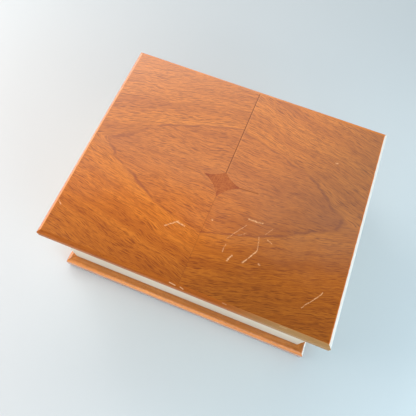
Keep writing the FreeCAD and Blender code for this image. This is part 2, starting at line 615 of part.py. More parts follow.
# ---------------------------------------------------------------- hinges

def make_hinges():
    leaf_end = "(barrel_y - barrel_room + 0.1)"
    ends = {"case": [("-hinge_length / 2", minus("knuckle / 2 + knuckle_gap / 2")),
                     ("knuckle / 2 + knuckle_gap / 2", "hinge_length / 2")],
            "lid": [(minus("knuckle / 2 - knuckle_gap / 2"), "knuckle / 2 - knuckle_gap / 2")]}
    axis_z = "(height - lid - lid_gap / 2)"
    for side, x in (("left", minus("hinge_x")), ("right", "hinge_x")):
        for owner, knuckles in ends.items():
            leaf_low = "lid_gap / 2" if owner == "lid" else "-lid_gap / 2 - hinge_leaf"
            leaf = new_body("hinge_%s_%s_leaf" % (side, owner), x=x, z=axis_z)
            flat = rectangle("-hinge_length / 2", "hinge_length / 2", "hinge_front", leaf_end)
            holes = [(offset, HINGE_SCREW_Y, "screw_head") for offset in ("-hinge_screw_x", "hinge_screw_x")]
            pad(leaf, [flat, *holes], "hinge_leaf", lift=leaf_low)
            for left, right in knuckles:
                tab = rectangle(left, right, plus(leaf_end, "-0.5"), "barrel_y")
                pad(leaf, [tab], "hinge_leaf", lift=leaf_low)
                pad(leaf, [("barrel_y", "0", "barrel")], plus(right, minus(left)), plane="YZ", lift=left)
            pocket(leaf, [("barrel_y", "0", "pin_bore")], "hinge_length", plane="YZ", lift="hinge_length / 2")
        pin = new_body("hinge_%s_pin" % side, x=x, z=axis_z)
        pad(pin, [("barrel_y", "0", "hinge_pin")], "hinge_length", plane="YZ", lift="-hinge_length / 2")


# ---------------------------------------------------------------- screws

def screws(label, points, direction, shank, length, head):
    """Slotted countersunk screws; each point is the middle of a head's flat face."""
    shank_radius, head_radius, reach = measure(shank) / 2, measure(head) / 2, measure(length)
    taper = head_radius - shank_radius
    slot = measure("screw_slot")
    along = FreeCAD.Vector(*direction)
    shapes = []
    for point in points:
        start = FreeCAD.Vector(*[measure(text) for text in point])
        cone = Part.makeCone(head_radius, shank_radius, taper, start, along)
        stem = Part.makeCylinder(shank_radius, reach - taper, start + along * taper, along)
        notch = Part.makeBox(2 * head_radius, slot, slot, FreeCAD.Vector(-head_radius, -slot / 2, 0))
        turn = FreeCAD.Rotation(FreeCAD.Vector(0, 0, 1), along)
        notch.Placement = FreeCAD.Placement(start, turn) * notch.Placement
        shapes.append(cone.fuse(stem).cut(notch).removeSplitter())
    group = doc.addObject("Part::Feature", label)
    group.Shape = Part.makeCompound(shapes)
    parts.append(group)


def base_screw_places():
    """Six screws up into the side and back walls, as x and y."""
    side, back = "(%s - wall / 2)" % CASE_X, "(%s - wall / 2)" % CASE_Y
    beside = [(sign + side, y) for sign in ("-", "") for y in ("-base_screw_front", "base_screw_back")]
    return beside + [(sign + "base_screw_x", back) for sign in ("-", "")]


def make_screws():
    down, up, forward = (0, 0, -1), (0, 0, 1), (0, -1, 0)
    hinge_places, keeper_places = hinge_screw_places(), keeper_screw_places()
    screws("hinge_case_screws", [(x, y, WALL_TOP) for x, y in hinge_places], down, "screw", "hinge_screw",
           "screw_head")
    screws("hinge_lid_screws", [(x, y, LID_UNDER) for x, y in hinge_places], up, "screw", "hinge_screw",
           "screw_head")
    screws("keeper_screws", [(x, y, LID_UNDER) for x, y in keeper_places], up, "screw", "keeper_screw",
           "screw_head")
    lock_back = plus(WALL_BACK, "lock_depth")
    screws("lock_screws", [(x, lock_back, z) for x, z in lock_screw_places()], forward, "screw", "lock_screw",
           "screw_head")
    base_places = [(x, y, "felt") for x, y in base_screw_places()]
    screws("base_screws", base_places, up, "base_screw", "base_screw_length", "base_screw_head")


MAKERS = (make_base, make_drawer, make_walls, make_linings, make_panel, make_lock, make_bolt, make_keeper,
          make_lid, make_hinges, make_screws)
for make in MAKERS:
    make()
doc.recompute()

for item in doc.Objects:
    if {"Invalid", "Error"} & set(item.State):
        raise RuntimeError("%s failed: %s" % (item.Label, item.State))
for item in parts:
    if item.Shape.isNull() or not item.Shape.isValid():
        raise RuntimeError("%s has no valid shape" % item.Label)

os.makedirs("parts", exist_ok=True)
for item in parts:
    item.Shape.exportStep("parts/%s.step" % item.Label)
    bounds = item.Shape.BoundBox
    corners = (bounds.XMin, bounds.XMax, bounds.YMin, bounds.YMax, bounds.ZMin, bounds.ZMax)
    print("%-24s %d solids" % (item.Label, len(item.Shape.Solids)), ["%.2f" % value for value in corners])
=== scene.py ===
import json
import math

import bmesh
import bpy
from mathutils import Matrix, Vector, noise


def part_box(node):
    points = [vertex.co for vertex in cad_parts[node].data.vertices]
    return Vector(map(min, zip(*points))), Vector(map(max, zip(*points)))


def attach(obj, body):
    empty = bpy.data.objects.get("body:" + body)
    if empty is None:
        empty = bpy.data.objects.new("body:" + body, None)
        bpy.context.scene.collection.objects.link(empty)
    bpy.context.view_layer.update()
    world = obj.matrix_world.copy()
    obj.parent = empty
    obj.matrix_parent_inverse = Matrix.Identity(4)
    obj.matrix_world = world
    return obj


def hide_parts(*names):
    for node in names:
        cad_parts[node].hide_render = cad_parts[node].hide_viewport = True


# A lacquered wooden puzzle box, seen close from above its front edge. Metres; shader lengths in millimetres.

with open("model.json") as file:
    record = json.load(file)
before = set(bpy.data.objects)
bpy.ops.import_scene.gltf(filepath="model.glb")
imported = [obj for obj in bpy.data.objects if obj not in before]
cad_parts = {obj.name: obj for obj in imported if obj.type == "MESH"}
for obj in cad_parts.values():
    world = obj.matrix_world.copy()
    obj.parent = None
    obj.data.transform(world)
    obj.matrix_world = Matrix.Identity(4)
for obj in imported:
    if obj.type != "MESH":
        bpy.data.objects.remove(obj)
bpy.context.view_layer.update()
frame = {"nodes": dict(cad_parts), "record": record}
scene = bpy.context.scene
NODES = frame["nodes"]
SLOT_OF = {part["node"]: part["material_slot"] for part in frame["record"]["subparts"]}
BODY_OF = {node: body for body, nodes in frame["record"]["behaviour"]["bodies"].items() for node in nodes}


# ---------------------------------------------------------------- camera

CAMERA_PLACE = Vector((0.02183, -0.09618, 0.25995))
CAMERA_AIM = Vector((-0.00151, -0.01782, 0.062))
CAMERA_ROLL = math.radians(5.16)
SENSOR_WIDTH = 36        # millimetres, as the lens
LENS = 36.67
NEAREST_SEEN = 0.005


def make_camera():
    data = bpy.data.cameras.new("camera")
    data.sensor_width = SENSOR_WIDTH
    data.lens = LENS
    data.clip_start = NEAREST_SEEN
    camera = bpy.data.objects.new("camera", data)
    scene.collection.objects.link(camera)
    turn = (CAMERA_AIM - CAMERA_PLACE).to_track_quat("-Z", "Y").to_matrix().to_4x4()
    camera.matrix_world = Matrix.Translation(CAMERA_PLACE) @ turn @ Matrix.Rotation(CAMERA_ROLL, 4, "Z")
    scene.camera = camera


make_camera()


# ---------------------------------------------------------------- shader nets

MM_PER_METRE = 1000


class Net:
    """A material whose nodes are made by short calls. A value is a number, a tuple or a node's socket."""

    def __init__(self, name):
        self.material = bpy.data.materials.new(name)
        self.material.use_nodes = True
        self.nodes = self.material.node_tree.nodes
        self.links = self.material.node_tree.links
        self.shader = self.nodes["Principled BSDF"]
        place = self.nodes.new("ShaderNodeTexCoord").outputs["Object"]
        self.place = self.vector("MULTIPLY", place, (MM_PER_METRE,) * 3)
        self.x, self.y, self.z = self.split(self.place)

    def put(self, socket, value):
        if isinstance(value, bpy.types.NodeSocket):
            self.links.new(value, socket)
        elif isinstance(value, tuple) and socket.type == "RGBA":
            socket.default_value = (*value, 1)
        else:
            socket.default_value = value

    def make(self, kind, inputs, out=0, **settings):
        node = self.nodes.new("ShaderNode" + kind)
        for name, value in settings.items():
            setattr(node, name, value)
        for name, value in inputs.items():
            self.put(node.inputs[name], value)
        return node.outputs[out]

    def math(self, operation, first, second=0.0, clamp=False):
        return self.make("Math", {0: first, 1: second}, operation=operation, use_clamp=clamp)

    def add(self, first, second):
        return self.math("ADD", first, second)

    def times(self, first, second):
        return self.math("MULTIPLY", first, second)

    def swing(self, value, size=1.0):
        """A value from 0 to 1 made to swing about zero, over size in all."""
        centred = self.add(value, -0.5)
        return centred if size == 1.0 else self.times(centred, size)

    def vector(self, operation, first, second=(0, 0, 0)):
        return self.make("VectorMath", {0: first, 1: second}, operation=operation)

    def length(self, value):
        return self.make("VectorMath", {0: value}, out="Value", operation="LENGTH")

    def split(self, value):
        node = self.nodes.new("ShaderNodeSeparateXYZ")
        self.put(node.inputs[0], value)
        return node.outputs[0], node.outputs[1], node.outputs[2]

    def join(self, x, y, z=0.0):
        return self.make("CombineXYZ", {0: x, 1: y, 2: z})

    def noise(self, place, scale, detail=3.0, rough=0.5, distortion=0.0):
        return self.make("TexNoise", {"Vector": place, "Scale": scale, "Detail": detail,
                                      "Roughness": rough, "Distortion": distortion})

    def cells(self, place, scale):
        """Distance from the middle of the nearest cell."""
        return self.make("TexVoronoi", {"Vector": place, "Scale": scale}, out="Distance")

    def step(self, value, low, high, to_low=0.0, to_high=1.0):
        """Smooth from to_low at value low to to_high at value high."""
        return self.make("MapRange", {"Value": value, "From Min": low, "From Max": high, "To Min": to_low,
                                      "To Max": to_high}, interpolation_type="SMOOTHSTEP")

    def mix(self, share, first, second, blend="MIX"):
        node = self.nodes.new("ShaderNodeMix")
        node.data_type = "RGBA"
        node.blend_type = blend
        self.put(node.inputs[0], share)
        self.put(node.inputs[6], first)
        self.put(node.inputs[7], second)
        return node.outputs[2]

    def ramp(self, value, *stops):
        node = self.nodes.new("ShaderNodeValToRGB")
        self.put(node.inputs[0], value)
        marks = node.color_ramp.elements
        while len(marks) < len(stops):
            marks.new(0.5)
        for mark, (at, colour) in zip(marks, stops):
            mark.position = at
            mark.color = (*colour, 1)
        return node.outputs[0]

    def bump(self, height, depth, under=None):
        """Relief of depth millimetres where height goes from 0 to 1."""
        inputs = {"Height": height, "Strength": 1.0, "Distance": depth / MM_PER_METRE}
        if under:
            inputs["Normal"] = under
        return self.make("Bump", inputs)

    def finish(self, colour, rough, normal=None, **constants):
        self.put(self.shader.inputs["Base Color"], colour)
        self.put(self.shader.inputs["Roughness"], rough)
        if normal:
            self.put(self.shader.inputs["Normal"], normal)
        for name, value in constants.items():
            self.put(self.shader.inputs[name.replace("_", " ")], value)
        return self.material


def grain_place(net, grain):
    """Coordinates with the grain along the first axis, then the two across it."""
    x, y, z = net.x, net.y, net.z
    return {"x": (x, y, z), "y": (y, x, z), "z": (z, x, y)}[grain]


def pores(net, along, across, depth, length, width, seed, cover=0.5):
    """Short dark dashes along the grain, where a slow noise says that there are any."""
    place = net.join(net.math("DIVIDE", along, length), net.math("DIVIDE", across, width),
                     net.add(net.times(depth, 1 / width), seed))
    dash = net.step(net.cells(place, 1.0), 0.36, 0.14)
    patch = net.noise(net.join(net.times(along, 0.03), net.times(across, 0.16), seed), 1.0, 2.0)
    return net.times(dash, net.step(patch, cover - 0.1, cover + 0.12))


def near_line(net, place, start, end, width):
    """1 on the line from start to end on the lid, falling to 0 at width beside it."""
    run = Vector(end) - Vector(start)
    away = net.vector("SUBTRACT", place, (*start, 0))
    share = net.make("VectorMath", {0: away, 1: (*(run / run.length_squared), 0)}, out="Value",
                     operation="DOT_PRODUCT")
    share = net.math("ADD", share, 0.0, clamp=True)
    foot = net.make("VectorMath", {0: (*run, 0), "Scale": share}, operation="SCALE")
    return net.step(net.length(net.vector("SUBTRACT", away, foot)), width, width * 0.2)


# Small chips on the front edge of the lid: ends in millimetres on the plan, then width and strength.
FRONT_CHIPS = [
    ((-4.6, -59.8), (-1.6, -60.1), 0.35, 0.6), ((0.9, -60.0), (2.6, -60.4), 0.3, 0.55),
    ((22.0, -59.6), (24.0, -59.7), 0.25, 0.3), ((50.0, -59.8), (53.5, -59.7), 0.25, 0.25),
]

# Painted light: a dull tan on the right end of the lid's front edge, where light from the right falls on it.
LIT_TAN = (0.41, 0.25, 0.10)
# Painted shade for the base moulding: on its ledge under the lid and on the low part of its front face.
LEDGE_SHADE = (0.14, 0.045, 0.010)
CHIPPED_WOOD = (0.88, 0.56, 0.30)
# Pale bare wood where the stain is worn off, lightened to near white as a painted highlight from the right.
WORN_EDGE_HIGHLIGHT = (0.95, 0.91, 0.82)

# Constants of the shader: glossy lacquer, lacquer gone dull on the lid's front edge, and the veneer's.
LACQUER = {"Coat_Weight": 1.0, "Coat_Roughness": 0.14, "Coat_IOR": 1.5, "Specular_IOR_Level": 0.25}
EDGE_LACQUER = {"Coat_Weight": 0.04, "Coat_Roughness": 0.3, "Coat_IOR": 1.5, "Specular_IOR_Level": 0.06}
VENEER_LACQUER = {"Coat_Weight": 1.0, "Coat_Roughness": 0.23, "Coat_IOR": 1.5, "Specular_IOR_Level": 0.1}


def plank(name, grain, tones, seed, streak=1.0, pore=0.55, coat=LACQUER, rough=0.42, worn_and_lit=None, marks=(),
          painted_shade=False, lit_tan_from=None):
    """Straight-grained solid wood: tones are light, middle, dark and pore colours.

    The stain is rubbed off to the right of and above worn_and_lit, an x and z in millimetres, and that pale
    edge is lightened further as a painted highlight. marks are chips, from point to point on the plan.
    painted_shade lays painted shade on the ledge under the lid and on the foot of the base moulding. To the
    right of lit_tan_from, an x in millimetres, a dull tan is painted on as light falling on the edge.
    """
    net = Net(name)
    along, across, depth = grain_place(net, grain)
    slow = net.noise(net.join(net.times(along, 0.018), net.times(across, 0.05), seed), 1.0, 2.0)
    sway = net.swing(slow, 7.0)
    bent = net.add(across, sway)
    bands = net.noise(net.join(net.times(along, 0.008), net.times(bent, 0.42 * streak),
                               net.add(net.times(depth, 0.42 * streak), seed)), 1.0, 5.0, 0.6)
    fibre = net.noise(net.join(net.times(along, 0.12), net.times(bent, 5.0), net.times(depth, 5.0)),
                      1.0, 3.0, 0.6)
    light, middle, dark, pore_colour = tones
    colour = net.ramp(bands, (0.30, light), (0.50, middle), (0.72, dark))
    colour = net.mix(net.times(net.step(fibre, 0.42, 0.66), 0.30), colour, dark)
    holes = net.math("MAXIMUM", pores(net, along, bent, depth, 3.4, 0.55, seed + 3.1),
                     pores(net, along, bent, depth, 2.1, 0.40, seed + 8.3, 0.55))
    colour = net.mix(net.times(holes, pore), colour, pore_colour)
    # painted light: the front edge turns a lighter tan towards the right, where light from the right falls
    if lit_tan_from is not None:
        tan = net.step(net.add(net.x, net.swing(fibre, 20.0)), lit_tan_from - 16.0, lit_tan_from + 22.0)
        colour = net.mix(net.times(tan, 0.75), colour, LIT_TAN)
    # painted shade: darker on the ledge under the lid's overhang and low on the moulding's face
    if painted_shade:
        level = net.add(net.z, net.swing(net.noise(net.place, 0.25, 3.0), 1.2))
        ledge, foot = net.step(level, 8.0, 8.8, 0.0, 0.42), net.step(level, 6.6, 4.8, 0.0, 0.40)
        shaded = net.math("MAXIMUM", ledge, foot)
        colour = net.mix(shaded, colour, LEDGE_SHADE)
    for start, end, width, strength in marks:
        chip = net.times(near_line(net, net.join(net.x, net.y), start, end, width), strength)
        colour = net.mix(chip, colour, CHIPPED_WOOD)
    # the pale right edge: partly wear, partly a painted highlight of the light from the right
    if worn_and_lit:
        ragged = net.swing(net.noise(net.vector("MULTIPLY", net.place, (1.0, 0.30, 1.0)), 1.0, 4.0, 0.65))
        wear_and_highlight = net.step(net.add(net.x, net.times(ragged, 0.5)), worn_and_lit[0] - 0.15, worn_and_lit[0] + 0.25)
        wear_and_highlight = net.times(wear_and_highlight, net.step(net.add(net.z, net.times(ragged, 2.5)), worn_and_lit[1] - 0.8, worn_and_lit[1] + 0.2))
        colour = net.mix(net.times(wear_and_highlight, 0.94), colour, WORN_EDGE_HIGHLIGHT)
    normal = net.bump(net.add(net.times(fibre, 0.4), net.times(holes, -1.0)), 0.02)
    return net.finish(colour, net.step(fibre, 0.3, 0.7, rough - 0.06, rough + 0.08), normal, **coat)


# ---------------------------------------------------------------- lid veneer

ARCH = 72.0          # where the long arch of the grain meets the middle line of the lid, from the seam
ARCH_Y = 0.5         # how far that line lies behind the middle of the lid

# Stops of the bands' colours inside and outside the arch, then the colours laid over them.
INSIDE_BANDS = ((0.30, (0.75, 0.214, 0.024)), (0.50, (0.69, 0.186, 0.019)), (0.72, (0.59, 0.148, 0.014)))
OUTSIDE_BANDS = ((0.32, (0.80, 0.236, 0.023)), (0.50, (0.74, 0.206, 0.018)), (0.70, (0.60, 0.152, 0.013)))
STREAK = (0.42, 0.090, 0.010)
FIBRE = (0.39, 0.078, 0.009)
ARCH_BAND = (0.90, 0.285, 0.030)
ARCH_LINE = (0.30, 0.055, 0.014)
ARCH_TIP = (0.42, 0.090, 0.016)
PORE = (0.24, 0.038, 0.006)
# Painted shade, laid on the lid towards the right and towards the front.
SHADE_RIGHT = (0.05, 0.02, 0.0)
SHADE_FRONT = (0.05, 0.015, 0.0)
# A painted reflection: the pale sheen of the room on the lacquer behind the middle of the lid.
BACK_SHEEN = (0.45, 0.62, 0.55)
SEAM_EDGE = (0.80, 0.38, 0.14)
SEAM = (0.11, 0.022, 0.010)
VEIN = (0.17, 0.034, 0.010)
SCRATCHED_LACQUER = (0.92, 0.52, 0.25)

# Fine pale scratches in the lacquer: ends in millimetres on the lid, then width and strength.
SCRATCHES = [
    ((-18.1, -34.8), (-12.6, -29.8), 0.41, 0.94), ((-13.4, -30.4), (-8.7, -31.2), 0.5, 1.0),
    ((19.7, -15.9), (26.9, -15.3), 0.6, 0.81), ((32.4, -16.4), (30.0, -20.6), 0.31, 0.44),
    ((31.9, -22.6), (34.6, -23.8), 0.41, 0.75), ((27.4, -22.6), (29.1, -29.8), 0.36, 0.56),
    ((29.1, -29.8), (24.1, -38.3), 0.48, 1.0), ((19.7, -19.2), (15.8, -24.8), 0.34, 0.56),
    ((15.8, -24.8), (12.9, -29.3), 0.36, 0.5), ((21.0, -23.5), (17.4, -25.6), 0.31, 0.45),
    ((13.5, -32.6), (13.2, -36.6), 0.41, 0.5), ((18.2, -36.4), (16.9, -39.8), 0.6, 1.0),
    ((64.7, -37.6), (56.9, -48.1), 0.30, 0.8), ((-72.6, -42.0), (-70.4, -43.7), 0.41, 0.75),
    ((2.8, -22.8), (3.0, -22.9), 0.72, 1.0), ((31.8, -35.9), (32.0, -36.0), 0.72, 0.75),
    ((52.7, 32.1), (53.1, 32.2), 0.72, 1.0),
]


def scratch_mask(net):
    """All the scratches, a little crooked and broken."""
    shake = net.make("TexNoise", {"Vector": net.place, "Scale": 0.33, "Detail": 2.0}, out="Color")
    shake = net.vector("MULTIPLY", net.vector("SUBTRACT", shake, (0.5, 0.5, 0.5)), (1.4, 1.4, 0))
    crooked = net.vector("ADD", net.join(net.x, net.y), shake)
    total = 0.0
    for start, end, width, strength in SCRATCHES:
        total = net.math("MAXIMUM", total, net.times(near_line(net, crooked, start, end, width), strength))
    broken = net.noise(net.place, 1.4, 3.0, 0.6)
    return net.times(total, net.step(broken, 0.36, 0.60, 0.25, 1.0))


def lid_veneer():
    """Two leaves of one crown-cut veneer, opened like a book at the seam: their arches meet as a diamond."""
    net = Net("lid_veneer")
    seam_x = net.add(net.x, net.times(net.y, -0.007))
    side = net.math("SIGN", seam_x)
    u = net.math("ABSOLUTE", seam_x)
    v = net.add(net.y, -ARCH_Y)
    leaf = net.times(side, 0.7)
    slow = net.noise(net.join(net.times(u, 0.030), net.times(v, 0.045), leaf), 1.0, 2.0)
    quick = net.noise(net.join(net.times(u, 0.13), net.times(v, 0.22), leaf), 1.0, 3.0)
    w = net.math("SQRT", net.add(net.times(v, v), 6.0))
    spread = net.math("MAXIMUM", net.add(w, -18.0), 0.0)
    arch = net.add(net.add(u, net.times(w, 1.68)), net.times(net.times(spread, spread), 0.09))
    arch = net.add(arch, net.add(net.swing(slow, 18.0), net.swing(quick, 9.0)))
    outside = net.step(arch, ARCH - 4.0, ARCH + 4.0)
    up = net.math("SIGN", v)

    # across the grain: nearly level inside the arch, and falling away from the seam outside it
    wander = net.add(net.swing(slow, 8.0), net.swing(quick))
    inner = net.add(net.add(v, net.times(net.times(u, up), 0.07)), wander)
    outer = net.add(net.times(up, net.add(w, net.times(u, 0.25))), wander)

    def layers(across, seed):
        bands = net.noise(net.join(net.times(u, 0.011), net.times(across, 0.15), net.add(leaf, seed)),
                          1.0, 3.0, 0.6)
        streaks = net.noise(net.join(net.times(u, 0.085), net.times(across, 1.45), net.add(leaf, seed + 4)),
                            1.0, 3.0, 0.62)
        fibre = net.noise(net.join(net.times(u, 0.30), net.times(across, 3.6), net.add(leaf, seed + 8)),
                          1.0, 3.0, 0.68)
        holes = net.math("MAXIMUM",
                         pores(net, u, across, leaf, 8.5, 0.60, seed + 1.7, 0.40),
                         pores(net, u, across, leaf, 5.5, 0.46, seed + 5.9, 0.42))
        return bands, streaks, fibre, holes

    inside_layers = layers(inner, 0.0)
    outside_layers = layers(outer, 20.0)
    bands, streaks, fibre, holes = [net.make("Mix", {0: outside, 2: a, 3: b})
                                    for a, b in zip(inside_layers, outside_layers)]

    colour = net.mix(outside, net.ramp(bands, *INSIDE_BANDS), net.ramp(bands, *OUTSIDE_BANDS))
    colour = net.mix(net.times(net.step(streaks, 0.46, 0.64), 0.44), colour, STREAK)
    colour = net.mix(net.times(net.step(fibre, 0.46, 0.60), 0.50), colour, FIBRE)

    # the arch itself: a lighter band outside a soft broken dark edge, darker still at the tip
    band = net.times(net.step(arch, ARCH + 15.0, ARCH + 3.0), outside)
    colour = net.mix(net.times(band, 0.14), colour, ARCH_BAND)
    off = net.math("ABSOLUTE", net.add(arch, 1.0 - ARCH))
    line = net.times(net.step(off, 2.4, 0.3), net.step(quick, 0.36, 0.60, 0.15, 1.0))
    tip = net.step(net.add(arch, net.times(w, 0.6)), ARCH - 22.0, ARCH - 2.0)
    tip = net.times(tip, net.step(w, 13.0, 3.0))
    tip = net.times(net.times(tip, net.math("SUBTRACT", 1.0, outside)), net.step(slow, 0.35, 0.6, 0.35, 0.8))
    colour = net.mix(net.times(line, 0.66), colour, ARCH_LINE)
    colour = net.mix(net.times(tip, 0.42), colour, ARCH_TIP)
    colour = net.mix(net.times(holes, 0.80), colour, PORE)

    # painted shade at the right and at the front, and a faint painted reflection behind the middle
    shade_at_right = net.step(net.add(net.x, net.times(net.y, -0.5)), 0.0, 60.0)
    shade_at_front = net.step(net.y, -25.0, -60.0)
    colour = net.mix(net.times(shade_at_right, 0.36), colour, SHADE_RIGHT)
    colour = net.mix(net.times(shade_at_front, 0.28), colour, SHADE_FRONT)
    # painted reflection: a faint pale sheen growing towards the back
    sheen_at_back = net.step(net.add(net.y, net.swing(slow, 40.0)), -42.0, 4.0)
    colour = net.mix(net.times(sheen_at_back, 0.085), colour, BACK_SHEEN)

    # seam between the leaves: glued tight in front, and opened a little from the star to the back edge
    behind = net.step(net.y, -12.0, 4.0)
    gap = net.times(net.step(u, 0.30, 0.08), net.make("Mix", {0: behind, 2: 0.24, 3: 0.80}))
    edge = net.times(net.step(net.math("ABSOLUTE", net.add(seam_x, -0.6)), 0.5, 0.1), behind)
    colour = net.mix(net.times(edge, 0.14), colour, SEAM_EDGE)
    colour = net.mix(gap, colour, SEAM)

    # a dark vein running level from the right arm of the star, and a fainter one off its left arm
    flat_place = net.join(net.x, net.y)
    right_vein = near_line(net, flat_place, (10.2, -1.3), (19.5, -0.8), 0.5)
    left_vein = near_line(net, flat_place, (-22.0, -0.2), (-16.0, -0.4), 0.5)
    vein = net.math("MAXIMUM", net.times(right_vein, 0.60), net.times(left_vein, 0.35))
    colour = net.mix(vein, colour, VEIN)

    scratch = scratch_mask(net)
    colour = net.mix(net.times(scratch, 0.90), colour, SCRATCHED_LACQUER)
    height = net.add(net.add(net.times(fibre, 0.5), net.times(holes, -1.0)),
                     net.add(net.times(gap, -1.0), net.times(scratch, -1.0)))
    rough = net.add(net.step(fibre, 0.3, 0.7, 0.42, 0.54), net.times(scratch, 0.2))
    return net.finish(colour, rough, net.bump(height, 0.005), **VENEER_LACQUER)


def star_wood():
    """Darker inlay, its grain from front to back, shaded towards the tips as if scorched in hot sand."""
    net = Net("star_wood")
    middle_of_star = net.join(net.x, net.add(net.y, 1.6))
    reach = net.length(middle_of_star)
    fibre = net.noise(net.join(net.times(net.x, 3.4), net.times(net.y, 0.35), 4.0), 1.0, 3.0, 0.6)
    cross = net.noise(net.join(net.times(net.x, 0.45), net.times(net.y, 1.9), 9.0), 1.0, 3.0)
    colour = net.ramp(net.add(net.times(fibre, 0.5), net.times(cross, 0.5)),
                      (0.38, (0.56, 0.165, 0.046)), (0.50, (0.47, 0.125, 0.036)),
                      (0.64, (0.34, 0.080, 0.024)))
    colour = net.mix(net.times(net.step(reach, 4.5, 9.5), 0.60), colour, (0.26, 0.055, 0.030))
    holes = pores(net, net.y, net.x, 0.0, 2.4, 0.5, 2.0, 0.5)
    colour = net.mix(net.times(holes, 0.5), colour, (0.16, 0.038, 0.018))
    return net.finish(colour, net.step(fibre, 0.3, 0.7, 0.38, 0.5), net.bump(fibre, 0.006), **VENEER_LACQUER)


# ---------------------------------------------------------------- other materials

def ivory_lacquer(name, grain):
    """Pale lacquer over close-grained wood: faint brushed lines, a little yellowing, specks of dust."""
    net = Net(name)
    along, across, depth = grain_place(net, grain)
    brush = net.noise(net.join(net.times(along, 0.03), net.times(across, 1.6), net.times(depth, 1.6)),
                      1.0, 4.0, 0.6)
    cloud = net.noise(net.place, 0.035, 3.0)
    speck = net.step(net.cells(net.place, 0.55), 0.10, 0.03)
    colour = net.ramp(cloud, (0.30, (0.76, 0.70, 0.59)), (0.62, (0.68, 0.61, 0.49)))
    colour = net.mix(net.times(net.step(brush, 0.45, 0.75), 0.30), colour, (0.60, 0.49, 0.34))
    colour = net.mix(net.times(speck, 0.25), colour, (0.42, 0.33, 0.22))
    height = net.add(net.times(brush, 1.0), net.times(net.noise(net.place, 0.9, 2.0), 0.6))
    return net.finish(colour, net.step(brush, 0.3, 0.7, 0.36, 0.50), net.bump(height, 0.012),
                      Coat_Weight=0.35, Coat_Roughness=0.3)


def plywood(name):
    """Birch ply: plain faces, and layers that show as stripes on the edges."""
    net = Net(name)
    bands = net.noise(net.join(net.times(net.x, 0.012), net.times(net.y, 0.20), 3.0), 1.0, 4.0, 0.6)
    face = net.ramp(bands, (0.30, (0.72, 0.53, 0.33)), (0.70, (0.56, 0.37, 0.19)))
    layer = net.math("FRACT", net.math("DIVIDE", net.z, 1.0))
    stripe = net.times(net.step(layer, 0.45, 0.55), net.step(layer, 0.98, 0.92))
    normal = net.make("NewGeometry", {}, out="Normal")
    upright = net.math("ABSOLUTE", net.split(normal)[2])
    rim = net.step(upright, 0.6, 0.3)
    colour = net.mix(net.times(net.times(stripe, rim), 0.55), face, (0.36, 0.21, 0.10))
    fibre = net.noise(net.join(net.times(net.x, 0.15), net.times(net.y, 4.0), net.times(net.z, 4.0)),
                      1.0, 3.0)
    colour = net.mix(net.times(net.step(fibre, 0.45, 0.7), 0.25), colour, (0.45, 0.28, 0.14))
    return net.finish(colour, 0.62, net.bump(fibre, 0.02))


def velvet(name):
    """Short pile: fine tufts with painted shade between them, and lighter and darker strokes where a hand has
    brushed it.
    """
    net = Net(name)
    stroke = net.noise(net.place, 0.075, 3.0, 0.55, 0.7)
    tuft = net.cells(net.place, 3.2)
    fuzz = net.noise(net.place, 6.5, 2.0, 0.7)
    colour = net.ramp(stroke, (0.34, (0.120, 0.007, 0.013)), (0.50, (0.160, 0.010, 0.017)),
                      (0.66, (0.215, 0.016, 0.025)))
    # painted shade: darker between the tufts, where the pile is lowest
    colour = net.mix(net.times(net.step(tuft, 0.25, 0.75), 0.35), colour, (0.060, 0.003, 0.007))
    height = net.add(net.times(net.math("SUBTRACT", 1.0, tuft), 0.7), net.times(fuzz, 0.6))
    return net.finish(colour, 0.88, net.bump(height, 0.14), Sheen_Weight=0.8, Sheen_Roughness=0.35,
                      Sheen_Tint=(0.95, 0.35, 0.38), Specular_IOR_Level=0.15)


def felt(name):
    """Pressed green wool: matted fibres in every direction, with a few pale ones."""
    net = Net(name)
    mat = net.noise(net.place, 1.7, 4.0, 0.7, 2.5)
    fibres = net.noise(net.join(net.times(net.x, 3.5), net.times(net.y, 1.3), net.z), 1.0, 4.0, 0.75, 3.0)
    colour = net.ramp(mat, (0.32, (0.020, 0.055, 0.028)), (0.66, (0.050, 0.115, 0.062)))
    colour = net.mix(net.times(net.step(fibres, 0.60, 0.76), 0.5), colour, (0.17, 0.25, 0.17))
    return net.finish(colour, 0.95, net.bump(net.add(mat, fibres), 0.16), Sheen_Weight=0.4,
                      Sheen_Roughness=0.6, Specular_IOR_Level=0.1)


def metal(name, bright, dull, rough, brush):
    """Brushed metal with a little tarnish. brush scales the noise along X, Y and Z."""
    net = Net(name)
    lines = net.noise(net.vector("MULTIPLY", net.place, brush), 1.0, 3.0, 0.6)
    tarnish = net.step(net.noise(net.place, 0.22, 4.0, 0.6), 0.46, 0.70)
    colour = net.mix(net.times(tarnish, 0.7), bright, dull)
    uneven = net.add(net.step(lines, 0.3, 0.7, rough - 0.07, rough + 0.09), net.times(tarnish, 0.12))
    return net.finish(colour, uneven, net.bump(lines, 0.010), Metallic=1.0)


# Tones of the solid woods: light, middle, dark and pore.
LID_TONES = ((0.84, 0.265, 0.034), (0.70, 0.200, 0.022), (0.48, 0.120, 0.013), (0.22, 0.045, 0.008))
# Painted shade: the lid's wood made darker for its front edge, a face that little light reaches.
SHADED_EDGE_TONES = ((0.56, 0.165, 0.024), (0.44, 0.115, 0.015), (0.30, 0.070, 0.010), (0.16, 0.034, 0.007))
# Painted light: the lid's wood made lighter for the base moulding, where light from the front falls on it.
LIT_BASE_TONES = ((0.92, 0.335, 0.070), (0.78, 0.250, 0.042), (0.56, 0.155, 0.022), (0.26, 0.060, 0.012))
PALE_TONES = ((0.70, 0.50, 0.29), (0.60, 0.40, 0.21), (0.46, 0.28, 0.13), (0.30, 0.17, 0.075))

